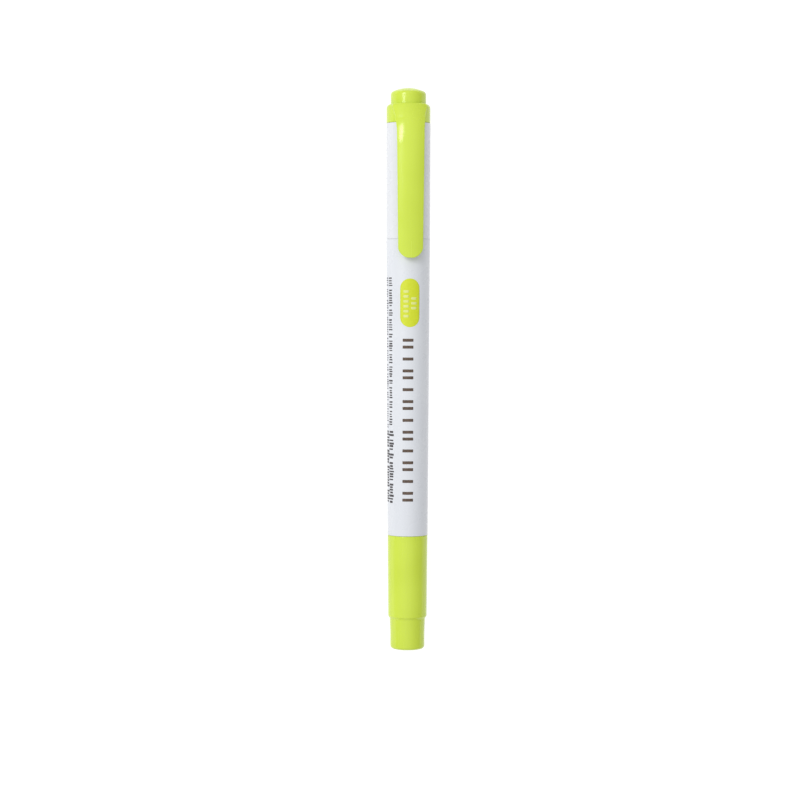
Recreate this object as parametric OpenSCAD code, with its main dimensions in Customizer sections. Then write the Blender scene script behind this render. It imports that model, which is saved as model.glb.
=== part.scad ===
// Double-ended highlighter: a tapered white barrel with a broad chisel nib under a clip cap
// and a fine bullet nib under a small cap. Both nibs drink from one fibre reservoir.
// Every module is drawn upright, with its axis on Z, the small cap's end face at z = 0 and the
// clip on the -Y side. lay() then puts the pen down along Y with the clip on top.

/* [Pen] */
// Length of the capped pen, end to end
pen_len = 140; // [136:0.5:146]
// Barrel radius beside the clip cap
barrel_r_broad = 5.43; // [5.40:0.01:5.50]
// Barrel radius beside the small cap
barrel_r_fine = 5.02; // [5.00:0.01:5.10]

/* [Small cap] */
// Length of the small cap, mouth to end face
small_cap_len = 28.65; // [28.2:0.05:29.4]
// Outer radius at the small cap's mouth
small_mouth_r = 4.98; // [4.96:0.01:5.06]
// Outer radius just above the shoulder
small_shoulder_r = 4.82; // [4.80:0.01:4.90]
// Length of the reduced end that the clip cap is posted on
boss_len = 7.65; // [7.1:0.05:8]
// Radius of the reduced end at the shoulder
boss_r = 4.41; // [4.38:0.01:4.44]
// Radius of the reduced end's straight land
boss_tip_r = 4.28; // [4.26:0.01:4.36]
// Height above the end face at which the straight land stops
boss_land_z = 4; // [3:0.5:5]

/* [Clip cap] */
// Length of the clip cap, mouth to button top
clip_cap_len = 37.45; // [36.8:0.05:38]
// Outer radius at the clip cap's mouth
tube_mouth_r = 5.43; // [5.40:0.01:5.50]
// Outer radius of the tube under the collar
tube_top_r = 5.50; // [5.44:0.01:5.54]
// Outer radius of the collar
collar_r = 5.44; // [5.40:0.01:5.48]
// Height of the collar
collar_h = 4.75; // [4.6:0.05:4.8]
// Radius of the button on top
button_r = 4.39; // [4.36:0.01:4.40]
// Height of the button above the collar
button_h = 4.05; // [3.95:0.05:4.3]

/* [Clip] */
// Distance from the pen's axis to the outer face of the clip
clip_out = 7.75; // [7.6:0.05:8]
// Distance from the pen's axis to the outer face at the clip's tip
clip_tip_out = 7.45; // [7.3:0.05:7.6]
// Thickness of the clip arm
clip_t = 1.3; // [1.1:0.05:1.4]
// Width of the clip arm at its root
clip_root_w = 6.8; // [6.4:0.1:7]
// Width of the clip arm at its tip
clip_tip_w = 6.2; // [5.8:0.1:6.4]
// Width of the flare where the clip leaves the collar
flare_w = 10.2; // [9.6:0.1:10.4]
// How far the tip reaches past the cap's mouth
clip_overhang = 4.75; // [4:0.05:5.5]

/* [Nibs] */
// Width of the broad nib
broad_w = 4.4; // [4.2:0.1:4.6]
// Thickness of the broad nib
broad_t = 2.6; // [2.4:0.1:2.8]
// Radius of the fine nib
fine_r = 1.0; // [0.9:0.05:1.05]

/* [Hidden] */

$fn = 96;

lime = [0.80, 0.90, 0.33];
white = [0.93, 0.93, 0.95];
natural = [0.88, 0.89, 0.88];
wet_fibre = [0.78, 0.88, 0.20];
film_tint = [0.85, 0.90, 0.70];

// Clearances of the parts that touch
slip = 0.04;        // a cap's bore round a neck
press = 0.02;       // a part pressed into another
seam = 0.04;        // the line between a cap's mouth and the barrel
lip = 0.12;         // the broken edge on each side of that line

// Places along the pen, measured from the small cap's end face
small_mouth = small_cap_len;
clip_mouth = pen_len - clip_cap_len;
barrel_z0 = small_mouth + seam;
barrel_z1 = clip_mouth - seam;
collar_top = pen_len - button_h;
collar_z = collar_top - collar_h;

// Small cap
small_bore_r = 4.40;
small_seat_r = 3.75;
small_end_wall = 1.2;
small_seat_z = 19;
boss_fillet = 0.8;
shoulder_h = 0.65;

// Clip cap
tube_bore_r = 4.48;
tube_neck_r = 5.00;
tube_neck_h = 3.4;
plug_stem_r = tube_bore_r - 0.03;
plug_stem_h = 5.5;
plug_wall = 0.9;
dome_edge = 1.0;
dome_rise = 0.87;
dome_turn = 65;
flange_in = button_r + 0.03;
collar_round = collar_r - button_r;

// Barrel bores and ribs
fine_bore_r = 4.07;
broad_bore_r = 4.27;
barrel_bore_r = 4.15;
plug_depth = 9;
rib_count = 6;
rib_w = 0.8;
rib_in_r = 3.86;

// Reservoir
film_r = 3.82;
film_t = 0.1;
film_z0 = barrel_z0 + 10;
film_z1 = barrel_z1 - 10.4;
core_r = film_r - film_t - press;

// Nib holders
fine_neck_r = small_bore_r - slip;
fine_neck_len = 6.3;
fine_land_r = 2.42;
fine_nose_z = barrel_z0 - 16.7;
fine_nose_r = 1.55;
fine_hole_r = fine_r + 0.25;
broad_neck_r = tube_bore_r - slip;
broad_neck_len = 6.1;
broad_land_r = 3.60;
broad_nose_r = 3.15;
broad_nose_z = barrel_z1 + 13.9;
bead_h = 0.025;
bead_w = 0.6;
wall_hollow_r = 3.3;

// Liners
seal_gap = 0.03;
fine_liner_r = small_seat_r - 0.03;
broad_liner_r = 4.30;
liner_wall = 1.2;

// Nib tips and tails
fine_tip_z = fine_nose_z - 2.85;
broad_tip_z = broad_nose_z + 6;
tail_reach = 5.5;

// Clip
clip_tip_z = clip_mouth - clip_overhang;
bend_z = collar_z - 5.1;
bend_r = 17;
hinge_z = collar_z - 3;
hinge_gap = 0.06;
clip_crown_r = 7.3;
clip_draft = 8;
draft_level = 7;
clip_lean = atan((clip_out - clip_tip_out) / (bend_z - clip_tip_z));
bend_out = clip_out - bend_r;
top_round = 0.4;
top_round_z = collar_top - 0.03 - top_round;
top_round_out = bend_out + sqrt(pow(bend_r - top_round, 2) - pow(top_round_z - bend_z, 2));
top_round_from = atan((top_round_z - bend_z) / (top_round_out - bend_out));
pad_r = 1.2;
pad_w = 4;
pad_z = clip_mouth + 3.1;
pad_clear = 0.16;
web_fillet = 0.9;

pen_axis_height = tube_top_r;

// Points of an arc about (cx, cy), from angle a0 to angle a1
function arc(cx, cy, r, a0, a1, n = 8) =
    [for (i = [0 : n]) let (a = a0 + (a1 - a0) * i / n) [cx + r * cos(a), cy + r * sin(a)]];

// A friction bead on a neck of radius r, seen in section at height z
function bead(r, z) = [
    [r, z - bead_w / 2],
    [r + bead_h, z - bead_w / 6],
    [r + bead_h, z + bead_w / 6],
    [r, z + bead_w / 2]
];

// Half width of the clip at height z: nearly straight, with a flare at the collar
function clip_half(z) =
    let (flare = max(0, (z - (collar_z - 5)) / (collar_top - collar_z + 5)))
    let (down = max(0, (bend_z - z) / (bend_z - clip_tip_z)))
    clip_root_w / 2 - (clip_root_w - clip_tip_w) / 2 * down
        + (flare_w - clip_root_w) / 2 * pow(flare, 2.4);

// Lays the upright pen down along Y, clip on top, with the origin under its middle
module lay() {
    translate([0, -pen_len / 2, pen_axis_height])
        rotate([-90, 0, 0])
            children();
}

// Turns an outline of [radius, height] points about the axis
module turned(points) {
    rotate_extrude()
        polygon(points);
}

// Extrudes an outline of [distance from axis, height] points across the pen
module across(width, points) {
    rotate([90, 0, -90])
        linear_extrude(height = width, center = true)
            polygon(points);
}

module barrel_ribs() {
    for (i = [0 : rib_count - 1])
        rotate([0, 0, i * 360 / rib_count])
            translate([rib_in_r, -rib_w / 2, film_z0 + 1])
                cube([barrel_bore_r - rib_in_r + 0.3, rib_w, film_z1 - film_z0 - 2]);
}

module barrel() {
    color(white) {
        turned([
            [fine_bore_r, barrel_z0], [fine_bore_r, barrel_z0 + plug_depth],
            [barrel_bore_r, barrel_z0 + plug_depth + 0.3],
            [barrel_bore_r, barrel_z1 - plug_depth - 0.5],
            [broad_bore_r, barrel_z1 - plug_depth], [broad_bore_r, barrel_z1],
            [barrel_r_broad - lip, barrel_z1], [barrel_r_broad, barrel_z1 - lip],
            [barrel_r_fine, barrel_z0 + lip], [barrel_r_fine - lip, barrel_z0]
        ]);
        barrel_ribs();
    }
}

module fine_rod(extra = 0) {
    cylinder(r = fine_r + extra, h = film_z0 + tail_reach - fine_nose_z);
}

// Cross-section of the broad nib: a slab with rounded sides
module broad_section(extra = 0) {
    intersection() {
        circle(r = broad_w / 2 + extra);
        square([broad_w + 2 * extra, broad_t + 2 * extra], center = true);
    }
}

module ink_reservoir() {
    z0 = film_z0 + 0.4;
    z1 = film_z1 - 0.4;
    tail_z = film_z1 - tail_reach;
    color(wet_fibre)
        difference() {
            translate([0, 0, z0])
                cylinder(r = core_r, h = z1 - z0);
            translate([0, 0, fine_nose_z])
                fine_rod(press);
            translate([0, 0, tail_z - press])
                linear_extrude(height = tail_reach + 1)
                    broad_section(press);
        }
}

module reservoir_film() {
    color(film_tint)
        turned([
            [film_r - film_t, film_z0], [film_r, film_z0],
            [film_r, film_z1], [film_r - film_t, film_z1]
        ]);
}

// Ribs that grip the fine nib and leave air channels between them
module fine_grip_ribs(z0, z1) {
    for (a = [0 : 90 : 270])
        rotate([0, 0, a])
            translate([fine_r + press, -0.25, z0])
                cube([fine_hole_r - fine_r + 0.3, 0.5, z1 - z0]);
}

module fine_nib_holder() {
    plug_r = fine_bore_r - press;
    neck_z = barrel_z0 - fine_neck_len;
    plug_z = barrel_z0 + plug_depth - 0.5;
    web_z = neck_z + 2.1;
    color(white) {
        turned(concat(
            [[fine_hole_r, fine_nose_z], [fine_nose_r, fine_nose_z]],
            [[fine_land_r, fine_nose_z + 3.6], [fine_land_r, neck_z - 1.3]],
            [[fine_neck_r - 0.5, neck_z - 0.3], [fine_neck_r, neck_z + 0.2]],
            bead(fine_neck_r, neck_z + 1.6),
            bead(fine_neck_r, neck_z + 4.4),
            [[fine_neck_r, barrel_z0], [plug_r, barrel_z0]],
            [[plug_r, plug_z - 0.4], [plug_r - 0.3, plug_z], [wall_hollow_r, plug_z]],
            [[wall_hollow_r, web_z + 1.2], [fine_hole_r, web_z]]
        ));
        fine_grip_ribs(fine_nose_z + 0.6, web_z);
    }
}

module fine_nib() {
    ball = 0.45;
    neck_z = fine_nose_z - 0.8;
    tail_z = film_z0 + tail_reach;
    color(wet_fibre)
        turned(concat(
            [[0, tail_z], [0, fine_tip_z]],
            arc(0, fine_tip_z + ball, ball, -90, -20),
            [[fine_r, neck_z], [fine_r, tail_z - 0.3], [fine_r - 0.3, tail_z]]
        ));
}

module broad_nib_holder() {
    plug_r = broad_bore_r - press;
    plug_z = barrel_z1 - plug_depth + 0.5;
    neck_z = barrel_z1 + broad_neck_len;
    web_z = barrel_z1 + 1.6;
    air_r = 0.35;
    color(white)
        difference() {
            turned(concat(
                [[0, web_z], [wall_hollow_r, web_z - 1.2], [wall_hollow_r, plug_z]],
                [[plug_r - 0.3, plug_z], [plug_r, plug_z + 0.4], [plug_r, barrel_z1]],
                [[broad_neck_r, barrel_z1]],
                bead(broad_neck_r, barrel_z1 + 1.8),
                bead(broad_neck_r, barrel_z1 + 4.5),
                [[broad_neck_r, neck_z - 0.2], [broad_neck_r - 0.4, neck_z + 0.2]],
                [[broad_land_r, neck_z + 0.6], [broad_land_r, neck_z + 4]],
                [[broad_nose_r + 0.15, broad_nose_z - 0.3]],
                [[broad_nose_r - 0.1, broad_nose_z], [0, broad_nose_z]]
            ));
            translate([0, 0, web_z - 2])
                linear_extrude(height = broad_nose_z - web_z + 4)
                    broad_section(press);
            for (side = [-1, 1])
                translate([0, side * broad_t / 2, web_z - 2])
                    cylinder(r = air_r, h = broad_nose_z - web_z + 4, $fn = 24);
        }
}

module broad_nib() {
    half = broad_w / 2 + 1;
    tail_z = film_z1 - tail_reach;
    slant = 3.4;
    tip_half_t = 0.75;
    bevel_z = broad_nose_z + 1.3;
    color(wet_fibre)
        intersection() {
            translate([0, 0, tail_z])
                linear_extrude(height = broad_tip_z - tail_z)
                    broad_section();
            rotate([90, 0, 0])
                linear_extrude(height = 2 * half, center = true)
                    polygon([
                        [-half, tail_z], [half, tail_z],
                        [half, broad_tip_z - slant - 0.9], [broad_w / 2 - 0.3, broad_tip_z - slant],
                        [-broad_w / 2 + 0.9, broad_tip_z], [-broad_w / 2 + 0.3, broad_tip_z - 0.1],
                        [-half, broad_tip_z - 1.4]
                    ]);
            across(2 * half, [
                [-broad_t / 2, tail_z], [broad_t / 2, tail_z], [broad_t / 2, bevel_z],
                [tip_half_t, broad_tip_z], [-tip_half_t, broad_tip_z], [-broad_t / 2, bevel_z]
            ]);
        }
}

module clip_cap_tube() {
    neck_top = collar_z + tube_neck_h;
    color(white)
        turned([
            [tube_bore_r + 0.1, clip_mouth], [tube_mouth_r - lip, clip_mouth],
            [tube_mouth_r, clip_mouth + lip], [tube_top_r, collar_z - lip],
            [tube_top_r - lip, collar_z], [tube_neck_r, collar_z],
            [tube_neck_r, neck_top], [tube_bore_r, neck_top],
            [tube_bore_r, clip_mouth + 0.3]
        ]);
}

// Half of the clip's front outline, extruded through the pen with the mould's draft
module clip_side(side, z0, z1) {
    reach = 2 * flare_w;
    edge = [for (i = [0 : 16]) let (z = z0 + (z1 - z0) * i / 16) [side * clip_half(z), z]];
    translate([0, -draft_level, 0])
        rotate([90, 0, side * clip_draft])
            linear_extrude(height = reach, center = true)
                polygon(concat([[-side * reach, z0]], edge, [[-side * reach, z1]]));
}

// The clip's long shape: a crowned bar of the given depth that leans towards the tip and bends
// over to the collar
module clip_bar(depth) {
    length = bend_z - clip_tip_z + 2;
    turn = asin((collar_top + 1 - bend_z) / bend_r);
    translate([0, -bend_out, bend_z])
        rotate([90, 0, -90]) {
            rotate([0, 0, -clip_lean])
                rotate_extrude(angle = turn + clip_lean)
                    clip_section(depth);
            rotate([90, 0, -clip_lean])
                linear_extrude(height = length)
                    clip_section(depth);
        }
}

// Section of the clip's bar, at its distance from the centre of the bend
module clip_section(depth) {
    intersection() {
        translate([bend_r - clip_crown_r, 0])
            circle(r = clip_crown_r);
        translate([bend_r - depth, -flare_w])
            square([depth + 1, 2 * flare_w]);
    }
}

// The part of the clip's bar that lies inside its front outline, between two heights
module clip_body(depth, z0, z1) {
    intersection() {
        clip_bar(depth);
        clip_side(-1, z0, z1);
        clip_side(1, z0, z1);
    }
}

// Root of the clip, which is moulded with the collar
module clip_root() {
    z0 = hinge_z + hinge_gap / 2;
    inner = clip_out - clip_t;
    web_z = collar_z - 1;
    tangent_z = bend_z + bend_r * sin(top_round_from);
    corner_r = collar_round + 0.25;
    corner_from = 35;
    corner_out = button_r + 0.02;
    corner_z = collar_top - 0.03 - corner_r;
    corner_far = 2 * clip_out;
    corner_drop = (corner_far - corner_out - corner_r / cos(corner_from)) / tan(corner_from);
    difference() {
        intersection() {
            clip_body(7, z0, collar_top - 0.03);
            // The rounded top edge
            across(2 * flare_w, concat(
                [[0, z0], [2 * clip_out, z0], [2 * clip_out, tangent_z]],
                arc(top_round_out, top_round_z, top_round, top_round_from, 90, 6),
                [[0, collar_top - 0.03]]
            ));
            // The top corners fall away with the collar's shoulder
            turned(concat(
                [[0, z0], [corner_far, z0], [corner_far, corner_z - corner_drop]],
                arc(corner_out, corner_z, corner_r, corner_from, 90, 6),
                [[0, collar_top - 0.03]]
            ));
        }
        across(2 * flare_w, concat(
            [[-1, z0 - 1], [inner, z0 - 1]],
            arc(inner - web_fillet, web_z - web_fillet, web_fillet, 0, 90, 6),
            [[-1, web_z]]
        ));
    }
}

module clip_collar() {
    flange_z = collar_z + tube_neck_h + 0.1;
    ring_z = collar_z + 0.04;
    ring_in = tube_neck_r + 0.03;
    shoulder_z = collar_top - collar_round;
    color(lime)
        difference() {
            union() {
                turned(concat(
                    [[flange_in - 0.2, ring_z], [collar_r, ring_z]],
                    arc(collar_r - collar_round, shoulder_z, collar_round, 0, 90),
                    [[flange_in - 0.2, collar_top]]
                ));
                clip_root();
            }
            translate([0, 0, collar_z - 1])
                cylinder(r = ring_in, h = flange_z - collar_z + 1);
            translate([0, 0, flange_z - 1])
                cylinder(r = flange_in, h = 5);
            // Below the collar the root stands clear of the tube
            translate([0, 0, hinge_z - 1])
                cylinder(r = tube_top_r + pad_clear, h = collar_z - hinge_z + 1.04);
        }
}

module clip_arm() {
    z1 = hinge_z - hinge_gap / 2;
    round_r = clip_tip_w / 2;
    pad_face = tube_mouth_r + pad_clear + 0.01;
    pad_root = clip_out - clip_t - 0.3;
    color(lime) {
        intersection() {
            clip_body(clip_t, clip_tip_z, z1);
            // Full-round tip
            union() {
                translate([0, 0, clip_tip_z + round_r])
                    rotate([90, 0, 0])
                        cylinder(r = round_r + 0.1, h = 2 * clip_out);
                translate([-clip_root_w, -2 * clip_out, clip_tip_z + round_r])
                    cube([2 * clip_root_w, 2 * clip_out, z1 - clip_tip_z]);
            }
        }
        // Pad that pinches a pocket's edge against the tube
        intersection() {
            translate([0, -pad_face - pad_r, pad_z])
                rotate([0, 90, 0])
                    cylinder(r = pad_r, h = pad_w, center = true);
            translate([-pad_w, -pad_root - 1, pad_z - 2])
                cube([2 * pad_w, 3, 4]);
        }
    }
}

module top_plug() {
    stem_z0 = collar_z + tube_neck_h - plug_stem_h;
    stem_z1 = collar_z + tube_neck_h + 0.05;
    hollow_r = plug_stem_r - plug_wall;
    edge_z = pen_len - dome_rise - dome_edge * sin(dome_turn);
    dome_out = button_r - dome_edge + dome_edge * cos(dome_turn);
    color(lime)
        turned(concat(
            [[hollow_r, stem_z0], [plug_stem_r - 0.2, stem_z0], [plug_stem_r, stem_z0 + 0.3]],
            [[plug_stem_r, stem_z1], [button_r, stem_z1 + 0.06]],
            arc(button_r - dome_edge, edge_z, dome_edge, 0, dome_turn, 7),
            [for (i = [1 : 6]) let (t = 1 - i / 6) [dome_out * t, pen_len - dome_rise * t * t]],
            [[0, pen_len - 1.4], [hollow_r - 0.6, pen_len - 1.9], [hollow_r, pen_len - 2.6]]
        ));
}

module clip_cap_liner() {
    mouth_z = barrel_z1 + broad_neck_len + 2.1;
    end_z = broad_tip_z + 3;
    bore_r = broad_land_r + seal_gap;
    ring_r = tube_bore_r - 0.03;
    color(natural)
        turned([
            [bore_r + 0.3, mouth_z], [broad_liner_r - 0.1, mouth_z],
            [broad_liner_r, mouth_z + 0.1], [broad_liner_r, mouth_z + 1.5],
            [ring_r, mouth_z + 1.7], [ring_r, mouth_z + 2.5],
            [broad_liner_r, mouth_z + 2.7], [broad_liner_r, end_z - 2.1],
            [ring_r, end_z - 1.9], [ring_r, end_z - 1.1],
            [broad_liner_r, end_z - 0.9], [broad_liner_r - 0.4, end_z],
            [0, end_z], [0, end_z - liner_wall],
            [bore_r - 0.2, end_z - liner_wall], [bore_r + 0.12, end_z - liner_wall - 0.5],
            [bore_r + 0.12, mouth_z + 2.2], [bore_r, mouth_z + 1.9], [bore_r, mouth_z + 0.3]
        ]);
}

module small_cap_shell() {
    edge = 0.1;
    shoulder_z = boss_len + shoulder_h;
    color(lime)
        turned(concat(
            [[0, small_end_wall], [0, 0]],
            arc(boss_tip_r - boss_fillet, boss_fillet, boss_fillet, -90, 0),
            [[boss_tip_r, boss_land_z], [boss_r, boss_len], [small_shoulder_r - 0.06, shoulder_z - 0.1]],
            [[small_shoulder_r, shoulder_z], [small_mouth_r, small_mouth - edge]],
            [[small_mouth_r - edge, small_mouth], [small_bore_r + 0.12, small_mouth]],
            [[small_bore_r, small_mouth - 0.3], [small_bore_r, small_seat_z]],
            [[small_seat_r, small_seat_z], [small_seat_r, small_end_wall + 0.6]],
            [[small_seat_r - 0.6, small_end_wall]]
        ));
}

module small_cap_liner() {
    foot_z = small_end_wall + 0.7;
    mouth_z = small_seat_z + 1;
    bore_r = fine_land_r + seal_gap;
    color(natural)
        turned([
            [0, foot_z + liner_wall], [0, foot_z], [fine_liner_r - 0.5, foot_z],
            [fine_liner_r, foot_z + 0.5], [fine_liner_r, small_seat_z + press],
            [small_bore_r - 0.06, small_seat_z + press], [small_bore_r - 0.06, mouth_z],
            [bore_r + 0.3, mouth_z], [bore_r, mouth_z - 0.3], [bore_r, mouth_z - 2.2],
            [bore_r + 0.4, mouth_z - 2.8], [bore_r + 0.4, foot_z + liner_wall + 0.5],
            [bore_r - 0.1, foot_z + liner_wall]
        ]);
}

lay() barrel();
lay() ink_reservoir();
lay() reservoir_film();
lay() broad_nib_holder();
lay() broad_nib();
lay() fine_nib_holder();
lay() fine_nib();
lay() clip_cap_tube();
lay() clip_collar();
lay() clip_arm();
lay() top_plug();
lay() clip_cap_liner();
lay() small_cap_shell();
lay() small_cap_liner();
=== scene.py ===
"""A double-ended highlighter lying on a pale table with its clip up, seen from above.

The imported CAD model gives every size: each turned piece is rebuilt from the outline of its CAD
node, with its edges rounded as moulding leaves them. The collar and the clip are one moulding
that bends at the clip's root. The marks on the barrel are plain printed shapes.
"""
import math
import random

import bmesh
import bpy
from mathutils import Matrix, Vector


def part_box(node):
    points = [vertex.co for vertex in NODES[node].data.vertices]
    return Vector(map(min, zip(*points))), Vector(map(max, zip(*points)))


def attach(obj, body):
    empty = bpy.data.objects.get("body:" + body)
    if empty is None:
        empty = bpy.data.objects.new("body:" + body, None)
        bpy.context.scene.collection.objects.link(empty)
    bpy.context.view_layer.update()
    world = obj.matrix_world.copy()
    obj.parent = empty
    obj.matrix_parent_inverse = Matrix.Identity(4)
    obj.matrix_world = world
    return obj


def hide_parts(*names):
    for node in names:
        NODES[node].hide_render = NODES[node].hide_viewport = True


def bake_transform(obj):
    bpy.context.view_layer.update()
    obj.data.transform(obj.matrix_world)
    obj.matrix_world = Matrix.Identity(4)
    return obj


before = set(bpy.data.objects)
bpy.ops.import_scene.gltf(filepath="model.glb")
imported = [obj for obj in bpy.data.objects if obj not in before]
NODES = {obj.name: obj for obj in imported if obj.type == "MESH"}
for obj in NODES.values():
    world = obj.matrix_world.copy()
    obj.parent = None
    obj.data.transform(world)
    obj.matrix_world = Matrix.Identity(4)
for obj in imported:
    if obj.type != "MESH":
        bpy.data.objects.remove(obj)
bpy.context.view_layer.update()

MM = 0.001
POLE = 1e-6     # a point nearer the axis than this is on it

# The pen's axis runs along Y at this height, halfway through the widest turned node
TUBE_LOW, TUBE_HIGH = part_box("clip_cap_tube")
CAP_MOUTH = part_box("barrel")[1].y     # the barrel's wide end, where the clip cap begins
AXIS_Z = (TUBE_LOW.z + TUBE_HIGH.z) / 2


# ---------------------------------------------------------------- shapes

def new_object(name, verts, faces):
    """A smooth shaded mesh object, in metres in the frame's own axes."""
    mesh = bpy.data.meshes.new(name)
    mesh.from_pydata(verts, [], faces)
    piece = bpy.data.objects.new(name, mesh)
    bpy.context.scene.collection.objects.link(piece)
    tidy_mesh(piece)
    return piece


def tidy_mesh(piece):
    """Welds doubled points, turns every face outwards and shades the piece smooth."""
    bm = bmesh.new()
    bm.from_mesh(piece.data)
    bmesh.ops.remove_doubles(bm, verts=bm.verts, dist=1e-7)
    bmesh.ops.recalc_face_normals(bm, faces=bm.faces)
    for face in bm.faces:
        face.smooth = True
    bm.to_mesh(piece.data)
    bm.free()


def outline(node):
    """The outline of a turned CAD node as (y, radius) points. Every edge of its mesh is swung
    into one half plane, and the path that most edges agree on is followed, so that a rib or a
    slot is passed by."""
    same = 2e-6     # points nearer than this are one point
    least = 20      # an edge of the true outline is repeated at least this often
    found = []

    def spot(co):
        here = (co.y, math.hypot(co.x, co.z - AXIS_Z))
        for number, other in enumerate(found):
            if math.dist(here, other) < same:
                return number
        found.append(here)
        return len(found) - 1

    mesh = NODES[node].data
    spots = [spot(v.co) for v in mesh.vertices]
    votes = {}
    for edge in mesh.edges:
        pair = frozenset(spots[v] for v in edge.vertices)
        if len(pair) == 2:
            votes[pair] = votes.get(pair, 0) + 1
    links = {}
    for pair, count in votes.items():
        if count >= least:
            for number in pair:
                links.setdefault(number, []).extend(pair - {number})
    ends = [n for n in links if len(links[n]) == 1]
    path = [min(ends or links, key=lambda n: found[n])]
    while True:
        steps = [n for n in links[path[-1]] if n not in path]
        if not steps:
            break
        path.append(max(steps, key=lambda n: votes[frozenset((path[-1], n))]))
    points = [found[n] for n in path]
    if ends:
        if points[0][1] > POLE:
            points.insert(0, (points[0][0], 0.0))
        if points[-1][1] > POLE:
            points.append((points[-1][0], 0.0))
        points[0] = (points[0][0], 0.0)
        points[-1] = (points[-1][0], 0.0)
    return points


def squared(points):
    """The outline with its 45 degree broken edges drawn back out to sharp corners."""
    widest = 0.2 * MM
    out = [points[0]]
    for (y0, r0), (y1, r1) in zip(points, points[1:]):
        run, rise = abs(y1 - y0), abs(r1 - r0)
        if run < widest and abs(run - rise) < 0.05 * run:
            face_y = y1 if r1 < r0 else y0
            out[-1] = (face_y, max(r0, r1))
        else:
            out.append((y1, r1))
    return out


def soften(points, cut, closed):
    """Rounds the corners of an outline. A sharp corner loses cut on each side, and a shallow one,
    which is a stretch of a curve, is smoothed from midpoint to midpoint."""
    shallow = math.radians(32)
    count = len(points)
    out = []
    for i, (y, r) in enumerate(points):
        here = Vector((y, r))
        if not closed and i in (0, count - 1):
            out.append(here)
            continue
        back = Vector(points[i - 1]) - here
        ahead = Vector(points[(i + 1) % count]) - here
        turn = math.pi - back.angle(ahead)
        if turn < 1e-4:
            continue
        reach = 0.49 * min(back.length, ahead.length)
        size = reach if turn < shallow else min(cut, reach)
        steps = 3 if turn < shallow else 6
        first = here + back.normalized() * size
        last = here + ahead.normalized() * size
        if turn >= shallow and back.length > 5 * cut:
            out.append(first + back.normalized() * cut)
        for k in range(steps + 1):
            t = k / steps
            out.append(first * (1 - t) ** 2 + here * 2 * t * (1 - t) + last * t * t)
        if turn >= shallow and ahead.length > 5 * cut:
            out.append(last + ahead.normalized() * cut)
    return [(p.x, p.y) for p in out]


def turned(name, points, cut, around):
    """A solid of revolution about the pen's axis, from an outline of (y, radius) points. Its
    sharp corners lose cut on each side."""
    closed = min(r for y, r in points) > POLE
    points = soften(points, cut, closed)
    verts = []
    rings = []
    for y, r in points:
        size = around if r > POLE else 1
        rings.append([len(verts) + k for k in range(size)])
        for k in range(size):
            a = math.tau * k / around
            verts.append((r * math.cos(a), y, AXIS_Z + r * math.sin(a)))
    faces = []
    pairs = list(zip(rings, rings[1:]))
    if closed:
        pairs.append((rings[-1], rings[0]))
    for one, two in pairs:
        for k in range(around):
            n = (k + 1) % around
            corners = [one[k % len(one)], one[n % len(one)], two[n % len(two)], two[k % len(two)]]
            face = list(dict.fromkeys(corners))
            if len(face) > 2:
                faces.append(face)
    return new_object(name, verts, faces)


def slab_faces(rows, columns, start=0):
    """Faces that close a slab whose points run row by row, and in each row first along the upper
    skin and then along the lower one. start is the number of its first point."""
    wide = columns + 1
    last = rows - 1
    faces = []

    def at(row, layer, k):
        return start + (2 * row + layer) * wide + k

    for i in range(last):
        for k in range(columns):
            for layer in (0, 1):
                faces.append([at(i, layer, k), at(i, layer, k + 1), at(i + 1, layer, k + 1),
                              at(i + 1, layer, k)])
        for k in (0, columns):
            faces.append([at(i, 0, k), at(i + 1, 0, k), at(i + 1, 1, k), at(i, 1, k)])
    for i in (0, last):
        for k in range(columns):
            faces.append([at(i, 0, k), at(i, 0, k + 1), at(i, 1, k + 1), at(i, 1, k)])
    return faces


def copy_of(node, shift=(0, 0, 0)):
    """A loose copy of a CAD node's mesh, moved by shift."""
    mesh = NODES[node].data.copy()
    mesh.transform(Matrix.Translation(shift))
    piece = bpy.data.objects.new(node + "_copy", mesh)
    bpy.context.scene.collection.objects.link(piece)
    return piece


def joined(name, pieces):
    """Joins loose pieces into one object called name."""
    bm = bmesh.new()
    for piece in pieces:
        bm.from_mesh(piece.data)
        bpy.data.objects.remove(piece)
    mesh = bpy.data.meshes.new(name)
    bm.to_mesh(mesh)
    bm.free()
    whole = bpy.data.objects.new(name, mesh)
    bpy.context.scene.collection.objects.link(whole)
    return whole


def applied(piece, *modifiers):
    """Adds modifiers as (type, settings) and writes their result into the piece's mesh."""
    for kind, settings in modifiers:
        modifier = piece.modifiers.new(kind.lower(), kind)
        for key, value in settings.items():
            setattr(modifier, key, value)
    graph = bpy.context.evaluated_depsgraph_get()
    mesh = bpy.data.meshes.new_from_object(piece.evaluated_get(graph))
    piece.modifiers.clear()
    piece.data = mesh
    return piece


# ---------------------------------------------------------------- materials

def linear(red, green, blue):
    """A colour given as 0 to 255 display values, in linear light."""
    out = []
    for value in (red, green, blue):
        c = value / 255
        out.append(c / 12.92 if c <= 0.04045 else ((c + 0.055) / 1.055) ** 2.4)
    return (*out, 1.0)


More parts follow.
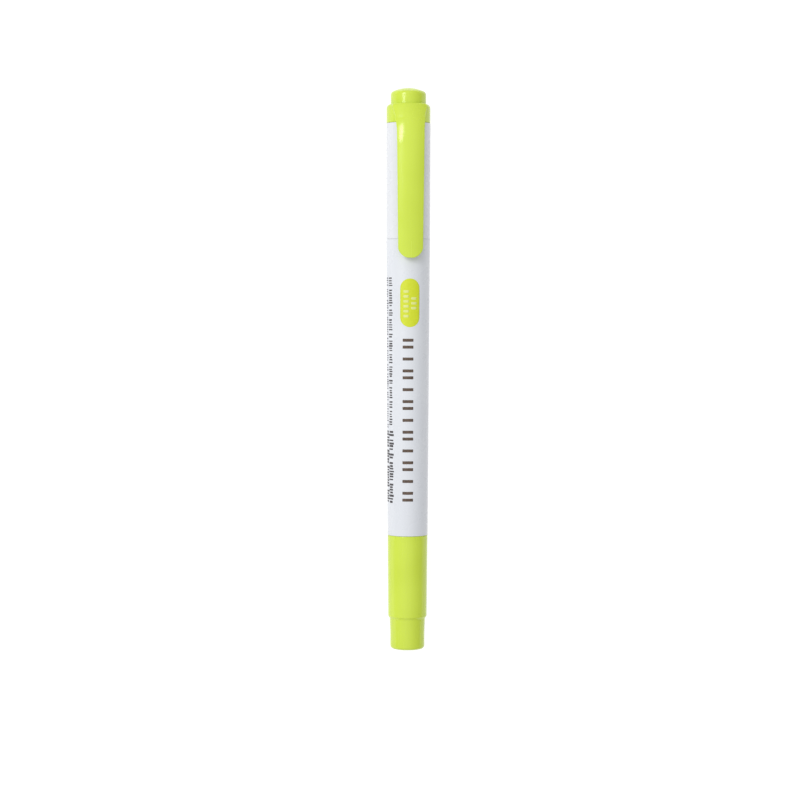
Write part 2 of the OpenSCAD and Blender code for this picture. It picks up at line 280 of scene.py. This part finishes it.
class Nodes:
    """Short names for building one material's nodes."""

    def __init__(self, name):
        self.material = bpy.data.materials.new(name)
        self.material.use_nodes = True
        self.tree = self.material.node_tree
        self.shader = self.tree.nodes["Principled BSDF"]
        self.place = self.add("ShaderNodeTexCoord").outputs["Object"]

    def add(self, kind, inputs=None, **settings):
        node = self.tree.nodes.new(kind)
        for key, value in settings.items():
            setattr(node, key, value)
        for key, value in (inputs or {}).items():
            if isinstance(value, bpy.types.NodeSocket):
                self.tree.links.new(value, node.inputs[key])
            else:
                node.inputs[key].default_value = value
        return node

    def noise(self, scale, stretch=(1, 1, 1), detail=2.0, rough=0.5, turn=(0, 0, 0)):
        """Noise with scale features per metre, drawn out along an axis by a small stretch."""
        where = self.add("ShaderNodeMapping", {"Vector": self.place, "Scale": stretch,
                                               "Rotation": turn})
        made = self.add("ShaderNodeTexNoise", {"Vector": where.outputs["Vector"], "Scale": scale,
                                               "Detail": detail, "Roughness": rough})
        return made.outputs["Fac"]

    def ramp(self, value, low, high, to_low=0.0, to_high=1.0):
        """value from low..high mapped to to_low..to_high, and held there outside."""
        made = self.add("ShaderNodeMapRange", {"Value": value, "From Min": low, "From Max": high,
                                               "To Min": to_low, "To Max": to_high})
        return made.outputs["Result"]

    def mix(self, share, first, second):
        made = self.add("ShaderNodeMix", data_type="RGBA")
        for socket, value in ((made.inputs[0], share), (made.inputs[6], first),
                              (made.inputs[7], second)):
            if isinstance(value, bpy.types.NodeSocket):
                self.tree.links.new(value, socket)
            else:
                socket.default_value = value
        return made.outputs[2]

    def maths(self, operation, first, second):
        made = self.add("ShaderNodeMath", operation=operation)
        for socket, value in zip(made.inputs, (first, second)):
            if isinstance(value, bpy.types.NodeSocket):
                self.tree.links.new(value, socket)
            else:
                socket.default_value = value
        return made.outputs[0]

    def bump(self, height, depth, below=None):
        inputs = {"Height": height, "Strength": 1.0, "Distance": depth}
        if below is not None:
            inputs["Normal"] = below
        return self.add("ShaderNodeBump", inputs).outputs["Normal"]

    def set(self, **values):
        """Sets the shader's sockets; underscores stand for spaces in their names."""
        for key, value in values.items():
            socket = self.shader.inputs[key.replace("_", " ")]
            if isinstance(value, bpy.types.NodeSocket):
                self.tree.links.new(value, socket)
            else:
                socket.default_value = value


def moulded(name, colour, shade, gloss):
    """Injection-moulded plastic: slow colour drift, flow streaks, a faint skin texture, and
    hairline scuffs where it is handled. gloss is its roughness where it is cleanest."""
    n = Nodes(name)
    drift = n.ramp(n.noise(95, detail=1.0), 0.35, 0.65)
    streaks = n.ramp(n.noise(520, stretch=(1, 0.06, 1), detail=3.0), 0.3, 0.7)
    blend = n.maths("ADD", n.maths("MULTIPLY", drift, 0.6), n.maths("MULTIPLY", streaks, 0.4))
    hairs = n.noise(2600, stretch=(1, 0.035, 1), detail=1.0, turn=(0, 0, math.radians(24)))
    cross = n.noise(2300, stretch=(1, 0.03, 1), detail=1.0, turn=(0, 0, math.radians(-37)))
    patches = n.ramp(n.noise(150, detail=2.0), 0.5, 0.68)
    scratches = n.maths("MULTIPLY", n.ramp(n.maths("MAXIMUM", hairs, cross), 0.66, 0.74), patches)
    smudge = n.ramp(n.noise(230, detail=4.0, rough=0.6), 0.4, 0.75, gloss, gloss + 0.09)
    roughness = n.maths("ADD", smudge, n.maths("MULTIPLY", scratches, 0.22))
    skin = n.noise(5200, detail=2.0, rough=0.6)
    waves = n.noise(330, stretch=(1, 0.25, 1), detail=1.0)
    normal = n.bump(waves, 0.0015 * MM)
    normal = n.bump(skin, 0.0008 * MM, below=normal)
    normal = n.bump(scratches, -0.002 * MM, below=normal)
    n.set(Base_Color=n.mix(blend, colour, shade), Roughness=roughness, Normal=normal, IOR=1.49)
    return n.material


def fibre(name, colour, shade, depth):
    """Pressed polyester fibre soaked with ink, its strands running along the pen."""
    n = Nodes(name)
    strands = n.noise(4200, stretch=(1, 0.05, 1), detail=3.0, rough=0.65)
    clumps = n.noise(900, stretch=(1, 0.3, 1), detail=2.0)
    blend = n.ramp(n.maths("ADD", n.maths("MULTIPLY", strands, 0.65),
                           n.maths("MULTIPLY", clumps, 0.35)), 0.32, 0.68)
    normal = n.bump(clumps, 2 * depth)
    normal = n.bump(strands, depth, below=normal)
    n.set(Base_Color=n.mix(blend, shade, colour), Roughness=n.ramp(strands, 0.3, 0.7, 0.55, 0.85),
          Normal=normal, Sheen_Weight=0.25, Sheen_Roughness=0.5, IOR=1.4)
    return n.material


def ink(name, colour, thin):
    """Screen-printed ink: a satin film that covers a little unevenly."""
    n = Nodes(name)
    cover = n.ramp(n.noise(1500, detail=3.0, rough=0.6), 0.35, 0.75)
    dots = n.noise(7000, detail=1.0)
    n.set(Base_Color=n.mix(cover, colour, thin), Roughness=n.ramp(dots, 0.3, 0.7, 0.34, 0.46),
          Normal=n.bump(dots, 0.0015 * MM), IOR=1.5)
    return n.material


def film(name, colour, shade):
    """Thin film drawn tight over wet fibre, with long soft creases."""
    n = Nodes(name)
    creases = n.noise(700, stretch=(1, 0.08, 1), detail=2.0)
    n.set(Base_Color=n.mix(creases, colour, shade), Roughness=n.ramp(creases, 0.3, 0.7, 0.12, 0.3),
          Normal=n.bump(creases, 0.02 * MM), IOR=1.5, Coat_Weight=0.4, Coat_Roughness=0.1)
    return n.material


def milky(name, colour, shade):
    """Uncoloured polypropylene, slightly translucent and softer in gloss."""
    n = Nodes(name)
    cloud = n.ramp(n.noise(300, detail=3.0), 0.35, 0.65)
    skin = n.noise(4200, detail=2.0)
    n.set(Base_Color=n.mix(cloud, colour, shade), Roughness=n.ramp(skin, 0.3, 0.7, 0.32, 0.44),
          Normal=n.bump(skin, 0.002 * MM), IOR=1.49, Subsurface_Weight=0.3, Subsurface_Scale=0.002)
    return n.material


LIME = moulded("lime_plastic_look", linear(197, 217, 70), linear(191, 211, 62), gloss=0.16)
CAP_WHITE = moulded("cap_white_look", linear(215, 217, 221), linear(211, 213, 218), gloss=0.24)
BARREL_WHITE = moulded("barrel_white_look", linear(212, 215, 220), linear(208, 211, 217),
                       gloss=0.26)
NECK_WHITE = moulded("neck_white_look", linear(234, 236, 238), linear(228, 230, 234), gloss=0.3)
MILKY = milky("milky_look", linear(224, 227, 225), linear(214, 218, 216))
NIB_FIBRE = fibre("nib_fibre_look", linear(214, 240, 20), linear(178, 212, 8), 0.012 * MM)
CORE_FIBRE = fibre("core_fibre_look", linear(206, 232, 60), linear(184, 214, 30), 0.02 * MM)
FILM = film("film_look", linear(222, 232, 150), linear(208, 222, 120))
BADGE_INK = ink("badge_ink_look", linear(196, 207, 16), linear(203, 213, 40))
DARK_INK = ink("dark_ink_look", linear(74, 58, 46), linear(96, 78, 64))
BLACK_INK = ink("black_ink_look", linear(46, 42, 44), linear(70, 66, 70))
GREY_INK = ink("grey_ink_look", linear(96, 96, 104), linear(120, 120, 128))
PALE_INK = ink("pale_ink_look", linear(214, 221, 138), linear(207, 215, 120))


def finish_piece(piece, body, slot, look, *nodes):
    """Gives a piece its look, the CAD nodes it stands for and the body it rides on. slot is not
    used.
    """
    piece.data.materials.clear()
    piece.data.materials.append(look)
    if nodes:
        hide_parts(*nodes)
    if body:
        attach(piece, body)
    return piece


# ---------------------------------------------------------------- turned pieces

EDGE = 0.06 * MM            # the rounding of an ordinary moulded edge
CAP_EDGE = 0.10 * MM        # the small cap's edges, which are handled
SEAM_EDGE = 0.025 * MM      # the clip cap meets the barrel in a fine line

# Facets round a piece that shows, an inner cup and a nib
OUTER = 192
INNER = 96
SLIM = 64

finish_piece(turned("barrel_tube", squared(outline("barrel")), SEAM_EDGE, OUTER), "pen",
             "white_barrel", BARREL_WHITE, "barrel")
finish_piece(turned("cap_sleeve", squared(outline("clip_cap_tube")), SEAM_EDGE, OUTER), "clip_cap",
             "white_cap", CAP_WHITE, "clip_cap_tube")
finish_piece(turned("cap_button", outline("top_plug"), EDGE, OUTER), "clip_cap", "lime_plastic",
             LIME, "top_plug")
finish_piece(turned("small_cap_body", outline("small_cap_shell"), CAP_EDGE, OUTER), "small_cap",
             "lime_plastic", LIME, "small_cap_shell")
finish_piece(turned("clip_cap_cup", outline("clip_cap_liner"), EDGE, INNER), "clip_cap",
             "natural_plastic", MILKY, "clip_cap_liner")
finish_piece(turned("small_cap_cup", outline("small_cap_liner"), EDGE, INNER), "small_cap",
             "natural_plastic", MILKY, "small_cap_liner")
finish_piece(turned("fine_tip", outline("fine_nib"), EDGE, SLIM), "pen", "inked_fibre",
             NIB_FIBRE, "fine_nib")

CAD_LOOKS = {
    "ink_reservoir": CORE_FIBRE,
    "reservoir_film": FILM,
    "broad_nib_holder": NECK_WHITE,
    "fine_nib_holder": NECK_WHITE,
    "broad_nib": NIB_FIBRE,
}
for node, look in CAD_LOOKS.items():
    for material_slot in NODES[node].material_slots:
        material_slot.material = look


# ---------------------------------------------------------------- clip and collar

COLLAR_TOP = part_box("clip_collar")[1].y
CLIP_CROWN = 7.3 * MM       # radius of the clip's face, seen from its end

# The clip's face where it runs up over the collar's shoulder, in mm: (distance below the
# collar's top, height above the pen's axis, half width)
CREST = [(4.0, 6.66, 3.3), (3.0, 6.36, 3.70), (2.0, 6.03, 3.98), (1.0, 5.70, 4.30),
         (0.45, 5.50, 4.25), (0.25, 5.38, 4.05), (0.12, 5.22, 3.85), (0.04, 5.02, 3.60)]


def clip_crest():
    """A wedge that carries the clip's crowned face to the collar's top edge."""
    columns = 24
    buried = 3.0 * MM       # height of the wedge's underside, hidden inside the cap
    verts = []
    for below, height, half in CREST:
        for top in (True, False):
            for k in range(columns + 1):
                x = half * MM * (2 * k / columns - 1)
                drop = CLIP_CROWN - math.sqrt(CLIP_CROWN ** 2 - x * x)
                z = height * MM - drop if top else buried
                verts.append((x, COLLAR_TOP - below * MM, AXIS_Z + z))
    return new_object("clip_crest", verts, slab_faces(len(CREST), columns))


def clip_moulding():
    """The collar and the clip in one skin: the CAD solids and the crest are fused and their
    meeting edges drawn into soft fillets."""
    gap = 0.1 * MM          # more than the slot the hinge leaves between the two solids
    work_scale = 1000       # the voxels are laid out in mm
    voxel = 0.09
    whole = joined("clip_moulding", [copy_of("clip_collar"), copy_of("clip_arm"),
                                     copy_of("clip_arm", (0, gap, 0)), clip_crest()])
    whole.data.transform(Matrix.Scale(work_scale, 4))
    applied(whole, ("REMESH", {"mode": "VOXEL", "voxel_size": voxel, "adaptivity": 0.0}),
            ("SMOOTH", {"factor": 0.5, "iterations": 10}))
    whole.data.transform(Matrix.Scale(1 / work_scale, 4))
    tidy_mesh(whole)
    return whole


moulding = clip_moulding()
finish_piece(moulding, None, "lime_plastic", LIME, "clip_collar", "clip_arm")
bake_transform(moulding)


# ---------------------------------------------------------------- printing on the barrel

BARREL_OUTLINE = outline("barrel")


def skin(y):
    """The barrel's outer radius at y."""
    widest = 0.0
    for (y0, r0), (y1, r1) in zip(BARREL_OUTLINE, BARREL_OUTLINE[1:] + BARREL_OUTLINE[:1]):
        if y0 != y1 and min(y0, y1) <= y <= max(y0, y1):
            widest = max(widest, r0 + (r1 - r0) * (y - y0) / (y1 - y0))
    return widest


def bar_rows(across, along, corner, steps):
    """A rounded bar as (place along it, half width) rows."""
    near = []
    for k in range(steps + 1):
        a = math.pi / 2 * k / steps
        near.append((corner * (1 - math.cos(a)) - along / 2,
                     across / 2 - corner * (1 - math.sin(a))))
    return near + [(-v, half) for v, half in reversed(near)]


def printed(name, slot, look, bars, lift, steps=3):
    """A print of rounded bars that wraps round the barrel. Each bar is (distance down from the
    clip cap, degrees from the top, width across, length along, corner), in mm, and stands lift
    above the barrel's skin."""
    sunk = 0.04 * MM        # how far the print's underside lies inside the barrel
    column_width = 0.3      # mm, the widest facet across a bar
    verts = []
    faces = []
    for below, degrees, across, along, corner in bars:
        columns = max(2, math.ceil(across / column_width))
        rows = bar_rows(across * MM, along * MM, corner * MM, steps)
        start = len(verts)
        for v, half in rows:
            y = CAP_MOUTH - below * MM + v
            r = skin(y)
            for out in (lift, -sunk):
                for k in range(columns + 1):
                    a = math.radians(degrees) + half / r * (2 * k / columns - 1)
                    verts.append(((r + out) * math.sin(a), y, AXIS_Z + (r + out) * math.cos(a)))
        faces += slab_faces(len(rows), columns, start)
    piece = new_object(name, verts, faces)
    return finish_piece(piece, "pen", slot, look)


def dash_line(dice, degrees, first, last, height, stroke, pitch):
    """Ticks in groups of uneven length along the barrel, from first to last below the cap, each
    about height across and stroke along, and about pitch apart."""
    corner = 0.05
    bars = []
    below = first
    while below < last:
        for tick in range(dice.randint(2, 8)):
            if below > last:
                break
            tall = height * dice.choice((1.0, 1.0, 0.75, 1.25))
            thick = stroke * dice.uniform(0.8, 1.3)
            bars.append((below, degrees + dice.uniform(-1.0, 1.0), tall, thick, corner))
            below += pitch * dice.uniform(0.85, 1.15)
        below += pitch * 0.9
    return bars


INK_LIFT = 0.012 * MM
SECOND_INK = 0.008 * MM     # an ink printed over another stands this much higher

# The badge: a rounded lozenge with two rows of pale dashes, in mm and degrees
BADGE_AT = 15.8
DASH_ANGLE = 10.5
DASH = (1.4, 0.62, 0.2)     # width across, length along and corner of one dash
badge = [(BADGE_AT, 0.0, 4.95, 12.0, 2.45)]
badge_dashes = [(BADGE_AT + 1.22 * (k - 2.3), -DASH_ANGLE, *DASH) for k in range(6)]
badge_dashes += [(BADGE_AT + 1.2 * (k - 0.9), DASH_ANGLE, *DASH) for k in range(3)]

# The row of plain marks below it, alternately double and single
ROW_FIRST = 25.9
ROW_PITCH = 3.8
ROW_MARKS = 11
ROW_ANGLE = -5.0
ROW_APART = 0.85            # each bar of a double mark lies this far from its middle
ROW_BAR = (2.68, 0.74, 0.1)
row = []
for k in range(ROW_MARKS):
    for shift in ((-ROW_APART, ROW_APART) if k % 2 == 0 else (0.0,)):
        row.append((ROW_FIRST + ROW_PITCH * k + shift, ROW_ANGLE, *ROW_BAR))

# Two lines of fine ticks down the left side, then two of bolder ones, each from and to these
# distances below the clip cap
FINE = (9.7, 46.9)
BOLD = (47.9, 65.8)
dice = random.Random(7)
side_lines = dash_line(dice, -60.0, *FINE, 1.25, 0.32, 0.60)
side_faint = dash_line(dice, -79.5, *FINE, 1.25, 0.28, 0.60)
side_block = dash_line(dice, -58.5, *BOLD, 1.5, 0.44, 0.70)
side_block += dash_line(dice, -78.5, *BOLD, 1.5, 0.44, 0.70)

printed("badge_print", "lime_print", BADGE_INK, badge, INK_LIFT, steps=12)
printed("badge_dashes", "white_barrel", PALE_INK, badge_dashes, INK_LIFT + SECOND_INK)
printed("row_print", "dark_print", DARK_INK, row, INK_LIFT)
printed("side_print", "dark_print", BLACK_INK, side_lines + side_block, INK_LIFT)
printed("side_faint_print", "dark_print", GREY_INK, side_faint, INK_LIFT)


# ---------------------------------------------------------------- table, light, camera

def table():
    """A plain pale table that glows a little, so that it shows white."""
    size = 4.0
    floor = new_object("table_top", [(-size, -size, 0), (size, -size, 0), (size, size, 0),
                                     (-size, size, 0)], [(0, 1, 2, 3)])
    n = Nodes("table_look")
    grain = n.noise(60, detail=3.0)
    n.set(Base_Color=n.mix(grain, (0.24, 0.24, 0.24, 1), (0.27, 0.27, 0.27, 1)), Roughness=0.7,
          Specular_IOR_Level=0.2, Emission_Color=(1, 1, 1, 1), Emission_Strength=0.86)
    floor.data.materials.append(n.material)


def panel(name, place, aim, size, power, shape="RECTANGLE"):
    """A flat studio light at place, turned to aim."""
    light = bpy.data.lights.new(name, "AREA")
    light.shape = shape
    light.size, light.size_y = size
    light.energy = power
    lamp = bpy.data.objects.new(name, light)
    lamp.location = place
    lamp.rotation_euler = (Vector(aim) - Vector(place)).to_track_quat("-Z", "Y").to_euler()
    bpy.context.scene.collection.objects.link(lamp)
    return lamp


def sky():
    """A soft tent of light: brightest a little to the left of overhead, and dimmer to each side."""
    world = bpy.data.worlds.new("studio")
    world.use_nodes = True
    tree = world.node_tree
    back = tree.nodes["Background"]

    def maths(operation, *values):
        node = tree.nodes.new("ShaderNodeMath")
        node.operation = operation
        for socket, value in zip(node.inputs, values):
            if isinstance(value, bpy.types.NodeSocket):
                tree.links.new(value, socket)
            else:
                socket.default_value = value
        return node.outputs[0]

    where = tree.nodes.new("ShaderNodeSeparateXYZ")
    tree.links.new(tree.nodes.new("ShaderNodeTexCoord").outputs["Generated"], where.inputs[0])
    middle = math.radians(-17)
    spread = math.radians(42)
    dimmest = 0.33
    rise = 0.75         # how much brighter the middle is
    side = maths("ARCTAN2", where.outputs["X"], where.outputs["Z"])
    off = maths("DIVIDE", maths("SUBTRACT", side, middle), spread)
    bell = maths("EXPONENT", maths("MULTIPLY", maths("MULTIPLY", off, off), -0.5))
    tree.links.new(maths("MULTIPLY_ADD", bell, rise, dimmest), back.inputs["Strength"])
    back.inputs["Color"].default_value = (1, 1, 1, 1)
    bpy.context.scene.world = world


def studio():
    """A tent of light, an oval lamp up to the left past the clip cap, and the lamp's spill."""
    sky()
    clip_root = (0, 0.06, 0.01)
    panel("key", (-0.34, 0.315, 0.50), clip_root, (0.235, 0.19), 1.2, shape="ELLIPSE")
    panel("key_spill", (-0.35, 0.165, 0.50), (0, 0.165, 0.01), (0.09, 0.16), 0.46)
    bpy.context.scene.view_settings.view_transform = "Standard"
    bpy.context.scene.view_settings.look = "None"


def camera():
    """Looks down at the pen from a little to its left, with the clip cap at the top."""
    distance = 0.551
    swing = math.radians(5.3)
    roll = math.radians(-0.11)
    across = Vector((math.cos(swing), 0, math.sin(swing)))
    down = Vector((math.sin(swing), 0, -math.cos(swing)))
    foot = Vector((0, 18.75 * MM, AXIS_Z))      # the point of the pen the camera is square to
    aim = Vector((0, -7.59 * MM, AXIS_Z)) - across * 1.955 * MM
    eye = bpy.data.cameras.new("photo_view")
    eye.sensor_width = 36.0
    eye.lens = 99.29
    seat = bpy.data.objects.new("photo_view", eye)
    seat.location = foot - down * distance
    back = (seat.location - aim).normalized()
    side = Vector((math.sin(roll), math.cos(roll), 0)).cross(back).normalized()
    up = back.cross(side)
    seat.rotation_euler = Matrix((side, up, back)).transposed().to_euler()
    bpy.context.scene.collection.objects.link(seat)
    bpy.context.scene.camera = seat


table()
studio()
camera()
